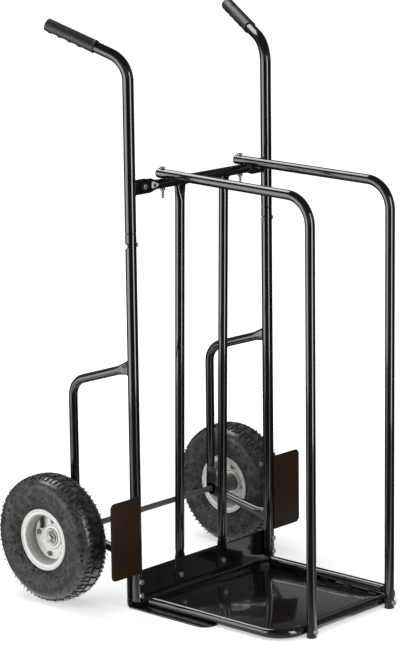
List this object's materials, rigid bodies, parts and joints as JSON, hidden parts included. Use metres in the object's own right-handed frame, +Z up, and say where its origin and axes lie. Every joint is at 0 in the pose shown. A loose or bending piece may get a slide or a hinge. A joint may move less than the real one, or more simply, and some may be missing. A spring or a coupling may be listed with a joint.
{
  "type": "log cart",
  "caption": "Upright two-wheeled tube cart that carries split logs on a low base between two inverted-L hoops, with bent rear handles, toe plate and pneumatic wheels.",
  "frame": {"origin": "on the floor, at the middle of the cart's footprint box; the cart stands on its wheels, toe plate and hoop feet", "axes": "+Z up, +Y back towards the user and the handles, -Y towards the load, +X to the right as seen from the load side"},
  "size_m": [0.622, 0.6936, 1.1669],
  "materials": {
    "black_powder_coat": "gloss powder coat",
    "zinc_hardware": "bright zinc plate",
    "galvanised_axle": "dull zinc plate",
    "zinc_rim": "white zinc plate, pressed sheet",
    "bearing_steel": "ground steel",
    "tyre_rubber": "matt moulded rubber",
    "tube_rubber": "smooth rubber",
    "black_grip": "satin soft plastic",
    "black_plastic": "satin moulding"
  },
  "bodies": {
    "frame": {"left_upright": "black_powder_coat", "right_upright": "black_powder_coat", "left_handle_tube": "black_powder_coat", "right_handle_tube": "black_powder_coat", "left_grip": "black_grip", "right_grip": "black_grip", "joint_bolts": "zinc_hardware", "joint_nuts": "zinc_hardware", "crossbar": "black_powder_coat", "crossbar_tabs": "black_powder_coat", "crossbar_bolts": "zinc_hardware", "crossbar_nuts": "zinc_hardware", "left_hoop": "black_powder_coat", "right_hoop": "black_powder_coat", "hoop_end_plugs": "black_plastic", "hoop_foot_caps": "black_plastic", "hoop_bolts": "zinc_hardware", "hoop_nuts": "zinc_hardware", "left_strut": "black_powder_coat", "right_strut": "black_powder_coat", "strut_foot_bolts": "zinc_hardware", "strut_foot_nuts": "zinc_hardware", "toe_plate": "black_powder_coat", "toe_plate_bolts": "zinc_hardware", "toe_plate_nuts": "zinc_hardware", "base_rail": "black_powder_coat", "base_floor": "black_powder_coat", "base_bolts": "zinc_hardware", "base_nuts": "zinc_hardware", "left_wheel_strut": "black_powder_coat", "right_wheel_strut": "black_powder_coat", "left_lower_brace": "black_powder_coat", "right_lower_brace": "black_powder_coat", "left_wheel_guard": "black_powder_coat", "right_wheel_guard": "black_powder_coat", "axle": "galvanised_axle", "axle_washers": "zinc_hardware", "cotter_pins": "zinc_hardware"},
    "left_wheel": {"left_tyre": "tyre_rubber", "left_inner_tube": "tube_rubber", "left_outer_rim": "zinc_rim", "left_inner_rim": "zinc_rim", "left_hub": "zinc_rim", "left_bearings": "bearing_steel", "left_rim_bolts": "zinc_hardware", "left_rim_nuts": "zinc_hardware", "left_valve_stem": "tube_rubber", "left_valve_cap": "black_plastic"},
    "right_wheel": {"right_tyre": "tyre_rubber", "right_inner_tube": "tube_rubber", "right_outer_rim": "zinc_rim", "right_inner_rim": "zinc_rim", "right_hub": "zinc_rim", "right_bearings": "bearing_steel", "right_rim_bolts": "zinc_hardware", "right_rim_nuts": "zinc_hardware", "right_valve_stem": "tube_rubber", "right_valve_cap": "black_plastic"}
  },
  "joints": [
    {"name": "left_wheel_spin", "type": "hinge", "parent": "frame", "child": "left_wheel", "pos_m": [-0.27, 0.21677, 0.13], "axis": [1, 0, 0], "continuous": true},
    {"name": "right_wheel_spin", "type": "hinge", "parent": "frame", "child": "right_wheel", "pos_m": [0.27, 0.21677, 0.13], "axis": [1, 0, 0], "continuous": true}
  ]
}
